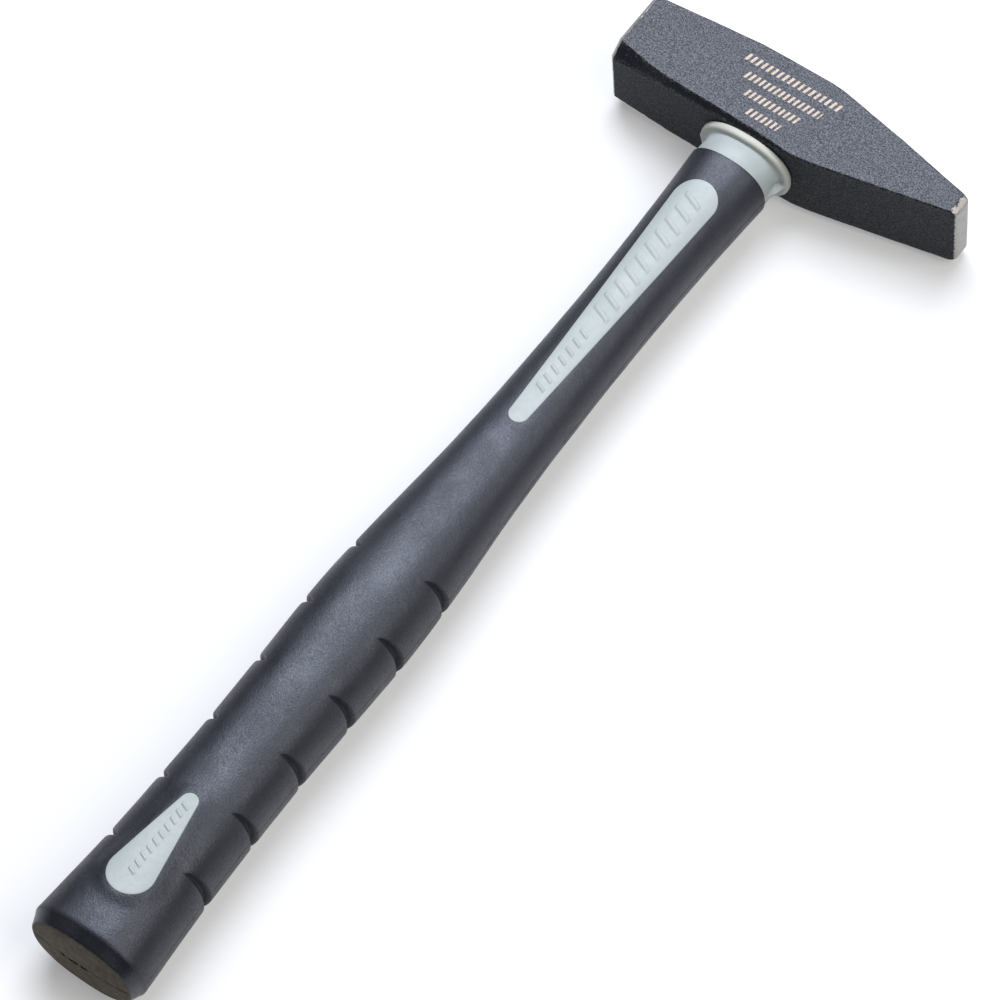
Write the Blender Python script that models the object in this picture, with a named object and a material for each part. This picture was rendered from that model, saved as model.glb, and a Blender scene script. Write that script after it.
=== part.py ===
"""Cross peen hammer with a fibreglass-cored, rubber-covered handle.

The hammer lies on its side. Every piece is modelled around the middle of the head's eye and then
parented to one empty, which puts the origin under the middle of the whole hammer.
+X points from the striking face to the peen, +Y from the butt to the head, +Z out of the upper cheek.
"""

import math

import bmesh
import bpy
from mathutils import Vector

MM = 0.001
GAP = 0.3  # kept between neighbouring pieces

# Every length below is in millimetres, measured from the middle of the eye.

# Head
FACE_EDGE_X = -49.2  # where the painted body ends and the ground face bevel starts
FACE_BEVEL = 1.4
FACE_CROWN = 0.6
PEEN_TIP_X = 66.95
CHEEK_HALF = 13.5  # half the thickness from cheek to cheek
UNDERSIDE_Y = -13.7
TOP_EYE_Y = 14.35  # the side away from the handle, over the eye

# Head sections: (x, low y, high y, corner cut)
HEAD_SECTIONS = (
    (FACE_EDGE_X, UNDERSIDE_Y, 13.0, 4.0),
    (-38.0, UNDERSIDE_Y, 13.4, 2.4),
    (-27.0, UNDERSIDE_Y, 13.75, 1.6),
    (-14.0, UNDERSIDE_Y, 14.15, 1.0),
    (0.0, UNDERSIDE_Y, TOP_EYE_Y, 0.8),
    (15.0, UNDERSIDE_Y, 14.05, 0.5),
    (64.6, -3.4, 4.25, 0.4),
)

# Rounded peen tip: (distance from the tip, what half the width loses, what half the length loses)
PEEN_ROUNDING = (
    (0.4, 0.7, 0.9),
    (0.0, 1.6, 1.7),
)

# Eye and core; a start or an end is a distance down the handle
EYE_HALF_WIDTH = 10.6
EYE_HALF_THICKNESS = 7.8
CORE_HALF_WIDTH = 8.2
CORE_HALF_THICKNESS = 6.0
CORE_START = -13.2  # just under the side of the head away from the handle
CORE_END = 318.0
BOND_START = -12.9
CUTTER_REACH = 20.0  # how far a cutter reaches to each side of the eye's middle

# Handle, with stations down the handle: (distance from the eye, half width, half thickness)
GRIP_START = 24.0
BUTT_RIM = 331.7
BUTT_EDGE = 336.3
BUTT_END = 337.3
BUTT_FACE_HALF_WIDTH = 17.3
BUTT_FACE_HALF_THICKNESS = 13.3
GRIP_STATIONS = (
    (GRIP_START, 13.3, 12.2),
    (40.0, 12.5, 11.8),
    (62.0, 11.85, 11.1),
    (90.0, 11.75, 10.5),
    (125.0, 12.5, 10.4),
    (150.0, 13.7, 11.2),
    (178.0, 15.75, 13.2),
    (205.0, 16.95, 14.5),
    (255.0, 16.1, 14.5),
    (300.0, 17.05, 14.9),
    (BUTT_RIM, 19.2, 15.2),
)
SECTION_POWER = 2.3  # of the superellipse that every handle section follows
NECK_WALL = 1.5  # rubber over the jacket at the neck
GRIP_WALL = 3.5  # rubber over the jacket at the butt
JACKET_END = 322.0
BORE_START = 5.0  # the jacket's bore for the core starts above the jacket's own top
HOLLOW_START = 20.0  # the rubber's hollow starts above the rubber's own top

# Collar at the top of the jacket: the same stations
COLLAR_STATIONS = (
    (GAP - UNDERSIDE_Y, 14.9, 11.4),
    (14.5, 15.5, 11.95),
    (15.8, 15.5, 11.95),
    (16.3, 14.8, 11.5),
    (17.0, 13.1, 11.0),
    (18.6, 12.7, 11.3),
    (GRIP_START - GAP, 12.95, 11.9),
)

# Windows through the rubber: (first centre, its radius, second centre, its radius)
LONG_WINDOW = (41.5, 7.2, 128.7, 3.2)
DROP_WINDOW = (284.7, 2.8, 310.9, 7.15)

# Side notches
NOTCH_FIRST = 189.3
NOTCH_PITCH = 22.6
NOTCH_COUNT = 6
NOTCH_WIDTH = 3.4
NOTCH_DEPTH = 1.7
NOTCH_HALF_ANGLE = math.radians(52)
NOTCH_FACE_SHIFT = 1.2  # the row on the striking face's side sits this much nearer the butt

# Mesh fineness
AROUND = 36
ALONG = 30
INNER_AROUND = 24
JACKET_RINGS = 18
WINDOW_STEPS = 10

# Where the eye's middle stands above the ground and beside the origin
EYE_POSITION = (
    -(PEEN_TIP_X + FACE_EDGE_X - FACE_BEVEL - FACE_CROWN) / 2 * MM,
    (BUTT_END - TOP_EYE_Y) / 2 * MM,
    15.2 * MM,
)


def clear_scene():
    for item in list(bpy.data.objects):
        bpy.data.objects.remove(item, do_unlink=True)


def new_collection(name):
    collection = bpy.data.collections.new(name)
    bpy.context.scene.collection.children.link(collection)
    return collection


def make_material(name, colour, roughness, metallic=0.0):
    material = bpy.data.materials.new(name)
    material.use_nodes = True
    shader = material.node_tree.nodes["Principled BSDF"]
    shader.inputs["Base Color"].default_value = (*colour, 1.0)
    shader.inputs["Roughness"].default_value = roughness
    shader.inputs["Metallic"].default_value = metallic
    return material


def smooth_value(stations, at, column):
    """A column of the stations at this distance, through a smooth curve."""
    spans = list(zip(stations, stations[1:]))
    index = 0
    while index < len(spans) - 1 and at > spans[index][1][0]:
        index += 1
    left, right = spans[index]
    before = stations[max(index - 1, 0)]
    after = stations[min(index + 2, len(stations) - 1)]
    width = right[0] - left[0]
    slope_left = (right[column] - before[column]) / (right[0] - before[0])
    slope_right = (after[column] - left[column]) / (after[0] - left[0])
    part = (at - left[0]) / width
    return (
        left[column] * (1 + 2 * part) * (1 - part) ** 2
        + slope_left * width * part * (1 - part) ** 2
        + right[column] * part**2 * (3 - 2 * part)
        + slope_right * width * part**2 * (part - 1)
    )


def grip_half_sizes(at):
    return smooth_value(GRIP_STATIONS, at, 1), smooth_value(GRIP_STATIONS, at, 2)


def rubber_wall(at):
    part = min(max((at - 110) / 90, 0), 1)
    return NECK_WALL + (GRIP_WALL - NECK_WALL) * part * part * (3 - 2 * part)


def section_point(half_width, half_thickness, angle):
    """X and Z of a point on a superellipse."""
    power = 2 / SECTION_POWER
    x = half_width * math.copysign(abs(math.cos(angle)) ** power, math.cos(angle))
    z = half_thickness * math.copysign(abs(math.sin(angle)) ** power, math.sin(angle))
    return x, z


def handle_ring(at, half_width, half_thickness, count):
    """One closed section of the handle, square to it."""
    ring = []
    for step in range(count):
        x, z = section_point(half_width, half_thickness, 2 * math.pi * step / count)
        ring.append(Vector((x, -at, z)) * MM)
    return ring


def loft(name, rings, collection, material=None):
    """A closed solid through rings that all have the same number of points."""
    mesh = bpy.data.meshes.new(name)
    body = bmesh.new()
    rows = [[body.verts.new(point) for point in ring] for ring in rings]
    count = len(rows[0])
    for near, far in zip(rows, rows[1:]):
        for step in range(count):
            following = (step + 1) % count
            body.faces.new((near[step], near[following], far[following], far[step]))
    body.faces.new(rows[0])
    body.faces.new(rows[-1])
    bmesh.ops.recalc_face_normals(body, faces=body.faces)
    body.to_mesh(mesh)
    body.free()
    mesh.shade_smooth()
    mesh.set_sharp_from_angle(angle=math.radians(35))
    item = bpy.data.objects.new(name, mesh)
    collection.objects.link(item)
    if material:
        mesh.materials.append(material)
    return item


def as_cutter(item):
    item.hide_render = True
    item.display_type = "WIRE"
    return item


def add_boolean(item, operation, other):
    modifier = item.modifiers.new(other.name, "BOOLEAN")
    modifier.operation = operation
    modifier.solver = "EXACT"
    modifier.object = other


def evenly(first, last, count):
    return [first + (last - first) * step / (count - 1) for step in range(count)]


def head_section(x, low, high, half, cut):
    """An eight-cornered section of the head, square to X."""
    corners = (
        (low + cut, half),
        (high - cut, half),
        (high, half - cut),
        (high, cut - half),
        (high - cut, -half),
        (low + cut, -half),
        (low, cut - half),
        (low, half - cut),
    )
    return [Vector((x, y, z)) * MM for y, z in corners]


def make_head(parts, cutters):
    """The forged head, with its ground face, its tapered peen and its eye."""
    face_x = FACE_EDGE_X - FACE_BEVEL
    _, first_low, first_high, first_cut = HEAD_SECTIONS[0]
    sections = []
    for scale, rise in ((0.4, 1.0), (0.7, 0.6), (1.0, 0.0)):
        sections.append(
            (
                face_x - FACE_CROWN * rise,
                (first_low + FACE_BEVEL) * scale,
                (first_high - FACE_BEVEL) * scale,
                (CHEEK_HALF - FACE_BEVEL) * scale,
                first_cut * scale,
            )
        )
    for x, low, high, cut in HEAD_SECTIONS:
        sections.append((x, low, high, CHEEK_HALF, cut))
    _, last_low, last_high, last_cut = HEAD_SECTIONS[-1]
    for from_tip, width_lost, length_lost in PEEN_ROUNDING:
        sections.append(
            (
                PEEN_TIP_X - from_tip,
                last_low + width_lost,
                last_high - width_lost,
                CHEEK_HALF - length_lost,
                last_cut,
            )
        )
    rings = [head_section(*section) for section in sections]
    material = make_material("black_painted_steel", (0.05, 0.052, 0.058), 0.6)
    head = loft("hammer_head", rings, parts, material)
    eye = make_oval_rod(
        "eye_cutter", EYE_HALF_WIDTH, EYE_HALF_THICKNESS, -CUTTER_REACH, CUTTER_REACH, cutters
    )
    add_boolean(head, "DIFFERENCE", as_cutter(eye))
    return head


def make_oval_rod(name, half_width, half_thickness, start, end, collection):
    """A straight oval rod along the handle, from a primitive cylinder."""
    length = abs(end - start) * MM
    bpy.ops.mesh.primitive_cylinder_add(
        vertices=INNER_AROUND,
        radius=1,
        depth=length,
        location=(0, -(start + end) / 2 * MM, 0),
        rotation=(math.radians(90), 0, 0),
        scale=(half_width * MM, half_thickness * MM, 1),
    )
    item = bpy.context.active_object
    bpy.ops.object.transform_apply(location=True, rotation=True, scale=True)
    item.name = name
    item.data.name = name
    for owner in list(item.users_collection):
        owner.objects.unlink(item)
    collection.objects.link(item)
    item.data.shade_smooth()
    item.data.set_sharp_from_angle(angle=math.radians(35))
    return item


def make_core(parts):
    """The fibreglass rod that runs from the top of the eye almost to the butt."""
    core = make_oval_rod(
        "fibreglass_core", CORE_HALF_WIDTH, CORE_HALF_THICKNESS, CORE_START, CORE_END, parts
    )
    core.data.materials.append(make_material("fibreglass", (0.62, 0.56, 0.36), 0.5))
    return core


def make_eye_bond(parts, cutters):
    """The resin that fills the eye around the core."""
    bond = make_oval_rod(
        "eye_bond",
        EYE_HALF_WIDTH - GAP,
        EYE_HALF_THICKNESS - GAP,
        BOND_START,
        -UNDERSIDE_Y,
        parts,
    )
    bond.data.materials.append(make_material("cast_resin", (0.03, 0.03, 0.03), 0.35))
    core_space = make_oval_rod(
        "bond_bore",
        CORE_HALF_WIDTH + GAP,
        CORE_HALF_THICKNESS + GAP,
        -CUTTER_REACH,
        CUTTER_REACH,
        cutters,
    )
    add_boolean(bond, "DIFFERENCE", as_cutter(core_space))
    return bond


def jacket_rings(extra, start, end, count):
    """Sections of the jacket under the rubber, made larger all round by extra."""
    rings = []
    for at in evenly(start, end, count):
        half_width, half_thickness = grip_half_sizes(max(at, GRIP_START))
        inset = rubber_wall(at) - extra
        rings.append(handle_ring(at, half_width - inset, half_thickness - inset, INNER_AROUND))
    return rings


def envelope_rings():
    """Sections of the outer shape that the rubber and the window pads share."""
    rings = [
        handle_ring(at, *grip_half_sizes(at), AROUND)
        for at in evenly(GRIP_START, BUTT_RIM, ALONG)
    ]
    rings.append(
        handle_ring(BUTT_EDGE, BUTT_FACE_HALF_WIDTH, BUTT_FACE_HALF_THICKNESS, AROUND)
    )
    dome = BUTT_END - BUTT_EDGE
    for inward, rise in ((0.7, 0.55), (0.35, 1.0)):
        rings.append(
            handle_ring(
                BUTT_EDGE + dome * rise,
                BUTT_FACE_HALF_WIDTH * inward,
                BUTT_FACE_HALF_THICKNESS * inward,
                AROUND,
            )
        )
    return rings


def window_prism(name, window, extra, collection):
    """A window's outline, two round ends joined by straight sides, through the whole handle."""
    first, first_radius, second, second_radius = window
    first_radius += extra
    second_radius += extra
    lean = math.asin((second_radius - first_radius) / (second - first))
    outline = []
    for step in range(WINDOW_STEPS + 1):
        angle = lean + (math.pi - 2 * lean) * step / WINDOW_STEPS
        outline.append((first_radius * math.cos(angle), -first + first_radius * math.sin(angle)))
    for step in range(WINDOW_STEPS + 1):
        angle = math.pi - lean + (math.pi + 2 * lean) * step / WINDOW_STEPS
        outline.append((second_radius * math.cos(angle), -second + second_radius * math.sin(angle)))
    rings = [[Vector((x, y, z)) * MM for x, y in outline] for z in (-CUTTER_REACH, CUTTER_REACH)]
    return as_cutter(loft(name, rings, collection))


def make_jacket(parts, cutters, envelope):
    """The hard plastic jacket: a collar under the head, a sleeve, and the pads in the windows."""
    rings = [handle_ring(*station, INNER_AROUND) for station in COLLAR_STATIONS]
    rings += jacket_rings(-GAP, GRIP_START, JACKET_END, JACKET_RINGS)
    material = make_material("pale_plastic", (0.62, 0.7, 0.71), 0.45)
    jacket = loft("handle_jacket", rings, parts, material)
    for name, window in (("long_pad", LONG_WINDOW), ("drop_pad", DROP_WINDOW)):
        pad = window_prism(name, window, 0, cutters)
        add_boolean(pad, "INTERSECT", envelope)
        add_boolean(jacket, "UNION", pad)
    bore = make_oval_rod(
        "jacket_bore",
        CORE_HALF_WIDTH + GAP,
        CORE_HALF_THICKNESS + GAP,
        BORE_START,
        CORE_END + GAP,
        cutters,
    )
    add_boolean(jacket, "DIFFERENCE", as_cutter(bore))
    return jacket


def notch_rings(at, side):
    """One notch as a bent wedge: steep at its head end, with a ramp towards the butt.

    Each notch is wide and deep at its middle and runs out at both of its ends."""
    half_width, half_thickness = grip_half_sizes(at)
    rings = []
    for angle in evenly(-NOTCH_HALF_ANGLE, NOTCH_HALF_ANGLE, 9):
        fullness = 1 - (angle / NOTCH_HALF_ANGLE) ** 2
        width = NOTCH_WIDTH * fullness**0.6 + 0.1
        depth = NOTCH_DEPTH * fullness**0.75 + 0.02
        ring = []
        for along, inward in ((0, 0), (-0.7 * width, depth), (-width, 0), (-width, -2), (0, -2)):
            x, z = section_point(half_width - inward, half_thickness - inward, angle)
            ring.append(Vector((side * x, -at - along, z)) * MM)
        rings.append(ring)
    return rings


def make_grip(parts, cutters, outer_rings):
    """The rubber cover, closed at the butt, with four windows and two rows of notches."""
    material = make_material("black_rubber", (0.045, 0.047, 0.055), 0.65)
    grip = loft("rubber_grip", outer_rings, parts, material)
    hollow = loft(
        "grip_hollow",
        jacket_rings(0, HOLLOW_START, JACKET_END + GAP, JACKET_RINGS + 1),
        cutters,
    )
    add_boolean(grip, "DIFFERENCE", as_cutter(hollow))
    for name, window in (("long_hole", LONG_WINDOW), ("drop_hole", DROP_WINDOW)):
        add_boolean(grip, "DIFFERENCE", window_prism(name, window, GAP, cutters))
    for number in range(NOTCH_COUNT):
        for side, side_name in ((-1, "face"), (1, "peen")):
            at = NOTCH_FIRST + NOTCH_PITCH * number
            if side < 0:
                at += NOTCH_FACE_SHIFT
            name = f"notch_{side_name}_{number + 1}"
            notch = loft(name, notch_rings(at, side), cutters)
            add_boolean(grip, "DIFFERENCE", as_cutter(notch))
    return grip


def main():
    clear_scene()
    parts = new_collection("cross_peen_hammer")
    cutters = new_collection("cutters")
    outer_rings = envelope_rings()
    envelope = as_cutter(loft("grip_envelope", outer_rings, cutters))
    pieces = [
        make_head(parts, cutters),
        make_core(parts),
        make_eye_bond(parts, cutters),
        make_jacket(parts, cutters, envelope),
        make_grip(parts, cutters, outer_rings),
    ]
    eye_middle = bpy.data.objects.new("eye_middle", None)
    parts.objects.link(eye_middle)
    eye_middle.location = EYE_POSITION
    for item in pieces + list(cutters.objects):
        item.parent = eye_middle


main()
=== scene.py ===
"""Looks of the cross peen hammer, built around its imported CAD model.

Lengths named here are millimetres, measured from the middle of the head's eye: +X towards the peen,
+Z out of the upper cheek, and "at" runs down the handle from the eye to the butt, which is -Y.
"""

import math

import bmesh
import bpy
from mathutils import Matrix, Vector, noise


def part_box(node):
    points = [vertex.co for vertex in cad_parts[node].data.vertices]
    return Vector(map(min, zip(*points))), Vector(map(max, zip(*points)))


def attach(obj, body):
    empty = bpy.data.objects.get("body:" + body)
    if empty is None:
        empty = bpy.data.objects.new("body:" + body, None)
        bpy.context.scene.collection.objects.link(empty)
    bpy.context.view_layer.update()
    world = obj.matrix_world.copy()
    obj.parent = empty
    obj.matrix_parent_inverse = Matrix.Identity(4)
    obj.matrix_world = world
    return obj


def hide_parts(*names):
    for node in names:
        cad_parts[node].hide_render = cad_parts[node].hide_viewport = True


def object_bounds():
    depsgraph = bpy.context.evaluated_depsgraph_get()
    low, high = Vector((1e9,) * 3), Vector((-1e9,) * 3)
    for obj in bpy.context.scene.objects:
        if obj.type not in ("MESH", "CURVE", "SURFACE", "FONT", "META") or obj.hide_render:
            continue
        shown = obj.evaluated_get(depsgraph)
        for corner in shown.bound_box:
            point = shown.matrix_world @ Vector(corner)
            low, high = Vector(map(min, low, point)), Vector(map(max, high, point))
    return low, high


MM = 0.001

# Head
FACE_EDGE_X = -49.2
FACE_BEVEL = 1.4
FACE_CROWN = 0.6
PEEN_TIP_X = 66.95
GROUND_X = 64.6  # where the paint ends at the peen
CHEEK_HALF = 13.5
EDGE_RADIUS = 0.3
EYE_HALF_WIDTH = 10.6
EYE_HALF_THICKNESS = 7.8

# Rows of bars printed on the upper cheek: (middle of the row in y, start x, end x, pitch)
MARKING_ROWS = (
    (7.8, -15.2, 18.4, 1.9),
    (2.4, -11.8, 14.8, 1.75),
    (-2.8, -8.2, 10.6, 1.75),
    (-8.0, -4.0, 7.0, 1.75),
)
BAR_HALF_HEIGHT = 1.3
BAR_SHARE = 0.48  # how much of the pitch a bar takes
BAR_SLANT = 0.25

# Head sections: (x, low y, high y, then three corner cuts as legs along Y and Z: towards the handle on the
# upper cheek, towards the handle on the lower cheek, and away from the handle on both cheeks)
HEAD_STATIONS = (
    (FACE_EDGE_X, -13.7, 13.0, 4.9, 4.0, 3.6, 2.7, 2.8, 5.2),
    (-38.0, -13.7, 13.4, 2.8, 3.4, 2.0, 1.6, 2.0, 3.6),
    (-31.0, -13.7, 13.6, 2.1, 2.5, 1.2, 1.0, 1.4, 2.7),
    (-22.7, -13.7, 13.85, 1.9, 2.1, 0.7, 0.7, 0.9, 1.7),
    (-14.0, -13.7, 14.15, 1.8, 2.0, 0.5, 0.5, 0.4, 0.7),
    (0.0, -13.8, 14.35, 1.5, 1.5, 0.4, 0.4, 0.3, 0.4),
    (10.0, -13.8, 14.35, 0.8, 0.9, 0.4, 0.4, 0.3, 0.4),
    (15.0, -13.75, 14.05, 0.5, 0.5, 0.4, 0.4, 0.3, 0.4),
    (20.0, -13.05, 13.25, 0.4, 0.4, 0.4, 0.4, 0.3, 0.4),
    (40.0, -8.8, 9.45, 0.4, 0.4, 0.4, 0.4, 0.3, 0.4),
    (GROUND_X, -3.5, 4.35, 0.4, 0.4, 0.5, 0.5, 0.3, 0.4),
)

# Peen tip: (part of the ground length, what the half width has lost there, what the half length has lost)
PEEN_TIP = (
    (0.1, 0.05, 0.1),
    (0.3, 0.16, 0.33),
    (0.5, 0.3, 0.56),
    (0.66, 0.46, 0.76),
    (0.78, 0.68, 0.93),
    (0.87, 0.95, 1.1),
    (0.94, 1.35, 1.35),
    (0.98, 1.8, 1.65),
    (1.0, 2.3, 2.0),
)

# Core
CORE_HALF_WIDTH = 8.2
CORE_HALF_THICKNESS = 6.0
CORE_END = 318.0
BOND_TOP = 12.9  # how far the resin reaches above the eye's middle
GAP = 0.3

# Handle: (distance from the eye, half width, half thickness)
GRIP_START = 24.0
BUTT_RIM = 331.7
BUTT_EDGE = 336.3
BUTT_END = 337.3
BUTT_RIM_HALF_WIDTH = 19.2
BUTT_RIM_HALF_THICKNESS = 15.2
BUTT_RIM_ROUND = ((331.2, 19.2, 15.17), (332.0, 19.17, 15.08), (332.5, 18.98, 14.85))
BUTT_FACE_HALF_WIDTH = 17.3
BUTT_FACE_HALF_THICKNESS = 13.3
GRIP_STATIONS = (
    (GRIP_START, 13.3, 12.2),
    (40.0, 12.5, 11.8),
    (62.0, 11.85, 11.1),
    (90.0, 11.75, 10.5),
    (125.0, 12.5, 10.4),
    (150.0, 13.7, 11.2),
    (178.0, 15.75, 13.2),
    (205.0, 16.95, 14.5),
    (255.0, 16.1, 14.5),
    (300.0, 17.05, 14.9),
    (BUTT_RIM, BUTT_RIM_HALF_WIDTH, BUTT_RIM_HALF_THICKNESS),
)
SECTION_POWER = 2.3
NECK_WALL = 1.5
GRIP_WALL = 3.5
JACKET_END = 322.0

# Collar: (at, half width, half thickness)
LIP_AT = 15.0
LIP_HALF_WIDTH = 15.85
COLLAR_STATIONS = (
    (13.75, 13.6, 10.1),
    (13.8, 15.0, 11.5),
    (13.95, 15.5, 11.9),
    (14.3, 15.75, 12.15),
    (LIP_AT, LIP_HALF_WIDTH, 12.2),
    (15.8, 15.8, 12.15),
    (16.3, 15.45, 11.9),
    (16.5, 14.85, 11.4),
    (16.62, 14.1, 10.95),
    (16.85, 13.4, 10.7),
    (17.3, 13.0, 10.75),
    (18.1, 12.75, 11.05),
    (19.3, 12.65, 11.4),
    (21.0, 12.75, 11.65),
    (24.6, 12.9, 11.85),
)
NIB = 0.45  # moulding nib on the flange, on the face's side
NIB_END = 16.0
WEB_SLOPE = 0.28  # of the thin web from the flange down to the rubber on the peen's side
WEB_HALF = 0.65  # half the thickness of the nib and of the web

# Windows: (first centre, its radius, second centre, its radius)
LONG_WINDOW = (41.5, 7.2, 128.7, 3.2)
DROP_WINDOW = (284.7, 2.8, 310.95, 7.3)

# Raised ribs across the pads: (first rib's distance, pitch, how many, half length, half breadth)
LONG_RIBS = ((42.0, 5.1, 10, 3.4, 1.1), (96.5, 3.6, 7, 1.8, 0.8))
DROP_RIBS = ((286.5, 2.7, 10, 1.4, 0.7),)
RIB_HEIGHT = 0.24
RIB_PROFILE = ((-1.0, 0.0), (-0.75, 0.3), (-0.45, 0.8), (0.0, 1.0), (0.45, 0.8), (0.75, 0.3), (1.0, 0.0))
RIB_SLANT = 0.4
PAD_ARC_STEPS = 40  # steps round each end of a pad
PAD_SIDE_STEPS = 60  # steps along each side of a pad
CUTTER_ARC_STEPS = 48
WINDOW_GAP = 0.06  # seen between the rubber and a pad
RIB_REACH_DOWN = 0.3  # how far a rib goes into its pad

# Side notches
NOTCH_FIRST = 189.3
NOTCH_PITCH = 22.6
NOTCH_COUNT = 6
NOTCH_WIDTH = 3.6
NOTCH_DEPTH = 2.1
NOTCH_HALF_ANGLE = math.radians(52)
NOTCH_LEFT_SHIFT = 1.2  # the row on the face side sits this much nearer the butt

# Viewpoint
AZIMUTH = math.radians(40.65)
ELEVATION = math.radians(60.34)
ROLL = math.radians(-5.17)
DISTANCE = 1867.3
LENS = 233.3
LOOK_AT = (8.76, -150.73, 0.3)  # from the eye's middle
FLOOR_GLOW = 0.32  # a light table, so that shadows stay pale

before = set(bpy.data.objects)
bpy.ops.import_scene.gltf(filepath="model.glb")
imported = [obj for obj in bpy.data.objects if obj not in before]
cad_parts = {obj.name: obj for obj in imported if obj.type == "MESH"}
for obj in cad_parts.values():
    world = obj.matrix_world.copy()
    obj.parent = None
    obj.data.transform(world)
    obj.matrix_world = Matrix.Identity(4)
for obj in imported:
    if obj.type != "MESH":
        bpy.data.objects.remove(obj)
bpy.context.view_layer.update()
bond_low, bond_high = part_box("eye_bond")
EYE = Vector(
    (
        (bond_low.x + bond_high.x) / 2,
        bond_high.y - BOND_TOP * MM,
        (bond_low.z + bond_high.z) / 2,
    )
)


# ---------------------------------------------------------------- mesh helpers


def place(x, at, z):
    """A point of the hammer, in the frame's metres."""
    return EYE + Vector((x, -at, z)) * MM


def evenly(first, last, count):
    return [first + (last - first) * step / (count - 1) for step in range(count)]


def smooth_step(value):
    value = min(max(value, 0.0), 1.0)
    return value * value * (3 - 2 * value)


def smooth_value(stations, at, column):
    """A column of the stations at this distance, through a smooth curve."""
    spans = list(zip(stations, stations[1:]))
    index = 0
    while index < len(spans) - 1 and at > spans[index][1][0]:
        index += 1
    left, right = spans[index]
    before = stations[max(index - 1, 0)]
    after = stations[min(index + 2, len(stations) - 1)]
    width = right[0] - left[0]
    slope_left = (right[column] - before[column]) / (right[0] - before[0])
    slope_right = (after[column] - left[column]) / (after[0] - left[0])
    part = (at - left[0]) / width
    return (
        left[column] * (1 + 2 * part) * (1 - part) ** 2
        + slope_left * width * part * (1 - part) ** 2
        + right[column] * part**2 * (3 - 2 * part)
        + slope_right * width * part**2 * (part - 1)
    )


def straight_value(stations, at, column):
    """A column of the stations at this distance, straight between them."""
    for left, right in zip(stations, stations[1:]):
        if at <= right[0]:
            break
    part = (at - left[0]) / (right[0] - left[0])
    return left[column] + (right[column] - left[column]) * part


def new_object(name, mesh, materials, sharp_degrees):
    for material in materials:
        mesh.materials.append(material)
    mesh.shade_smooth()
    mesh.set_sharp_from_angle(angle=math.radians(sharp_degrees))
    item = bpy.data.objects.new(name, mesh)
    bpy.context.scene.collection.objects.link(item)
    return item


def close_end(body, row, fold):
    """Closes a loft's end: a fan about its middle or, given fold, strips between its mirrored sides.

    fold counts the steps of the arc round the end where the two sides start."""
    count = len(row)
    if fold is None:
        middle = body.verts.new(sum((vertex.co for vertex in row), Vector()) / count)
        for step in range(count):
            body.faces.new((row[step], row[(step + 1) % count], middle))
        return
    tip = fold // 2
    for step in range(count // 2):
        near = [row[(tip + step) % count], row[(tip + step + 1) % count]]
        far = [row[(tip - step - 1) % count], row[(tip - step) % count]]
        body.faces.new(list(dict.fromkeys(near + far)))


def closed_loft(name, rings, materials, sharp_degrees=40, marks=None, fold=None):
    """A closed surface through rings of the same length.

    marks holds a number for each point of each ring, kept as the attribute mark."""
    count = len(rings[0])
    body = bmesh.new()
    layer = body.verts.layers.float.new("mark")
    rows = []
    for number, ring in enumerate(rings):
        row = [body.verts.new(point) for point in ring]
        for step, vertex in enumerate(row):
            vertex[layer] = marks[number][step] if marks else 0.0
        rows.append(row)
    for near, far in zip(rows, rows[1:]):
        for step in range(count):
            following = (step + 1) % count
            body.faces.new((near[step], near[following], far[following], far[step]))
    close_end(body, rows[0], fold)
    close_end(body, rows[-1], fold)
    bmesh.ops.recalc_face_normals(body, faces=body.faces)
    mesh = bpy.data.meshes.new(name)
    body.to_mesh(mesh)
    body.free()
    return new_object(name, mesh, materials, sharp_degrees)


def cut(item, cutter, sharp_degrees=40):
    """Cuts, keeps the result as the item's own mesh and removes the cutter."""
    modifier = item.modifiers.new("cut", "BOOLEAN")
    modifier.operation = "DIFFERENCE"
    modifier.solver = "EXACT"
    modifier.object = cutter
    seen = item.evaluated_get(bpy.context.evaluated_depsgraph_get())
    mesh = bpy.data.meshes.new_from_object(seen)
    item.modifiers.clear()
    item.data = mesh
    mesh.shade_smooth()
    mesh.set_sharp_from_angle(angle=math.radians(sharp_degrees))
    bpy.data.objects.remove(cutter, do_unlink=True)


def merged(name, items, sharp_degrees=40):
    """One object out of several, which are removed."""
    body = bmesh.new()
    for item in items:
        body.from_mesh(item.data)
    mesh = bpy.data.meshes.new(name)
    body.to_mesh(mesh)
    body.free()
    materials = list(items[0].data.materials)
    for item in items:
        bpy.data.objects.remove(item, do_unlink=True)
    return new_object(name, mesh, materials, sharp_degrees)


# ---------------------------------------------------------------- material helpers


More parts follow.
